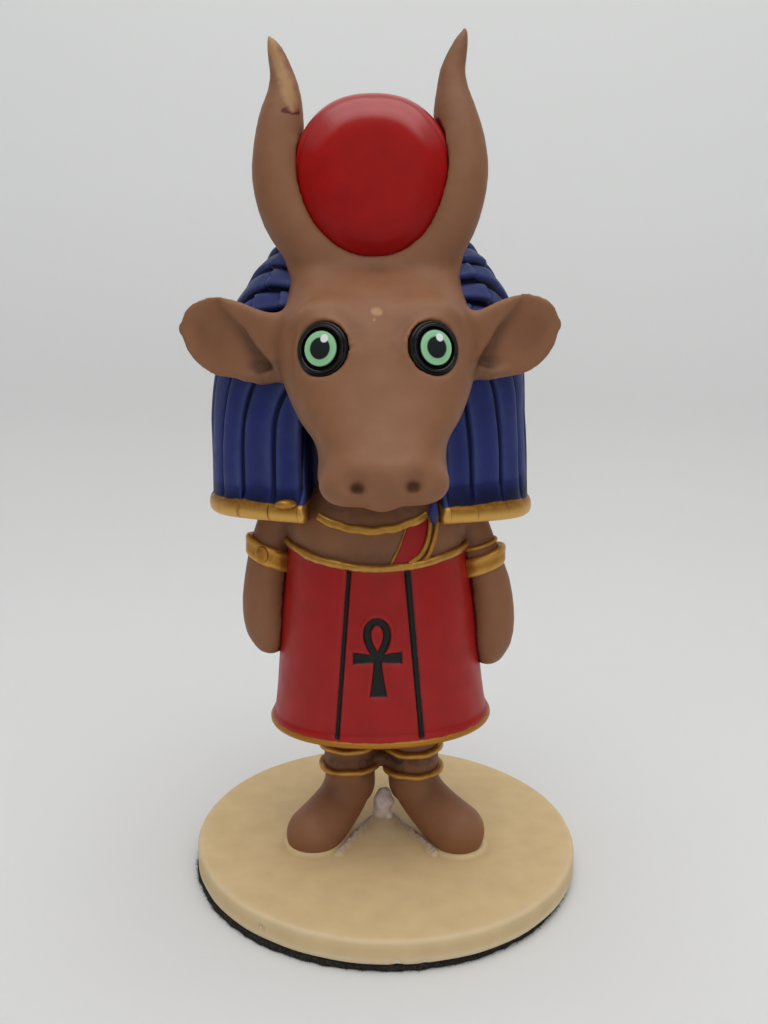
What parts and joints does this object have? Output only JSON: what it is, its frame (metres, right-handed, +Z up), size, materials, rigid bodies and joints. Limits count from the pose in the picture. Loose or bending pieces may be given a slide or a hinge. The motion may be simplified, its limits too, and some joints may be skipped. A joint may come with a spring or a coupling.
{
  "type": "hathor statue",
  "caption": "Painted resin figure of a standing cow-headed goddess with horns, a sun disc, a striped wig and a red dress, on a round base.",
  "frame": {"origin": "centre of the felt pad's underside, on the surface the figure stands on", "axes": "+Z up, the figure looks along -Y, +X to the viewer's right"},
  "size_m": [0.052, 0.0523, 0.1078],
  "materials": {
    "painted_resin": "painted, satin",
    "eye": "polished",
    "felt": "matt felt"
  },
  "bodies": {
    "root": {"figure": "painted_resin", "left_eye": "eye", "right_eye": "eye", "felt_pad": "felt"}
  },
  "joints": []
}
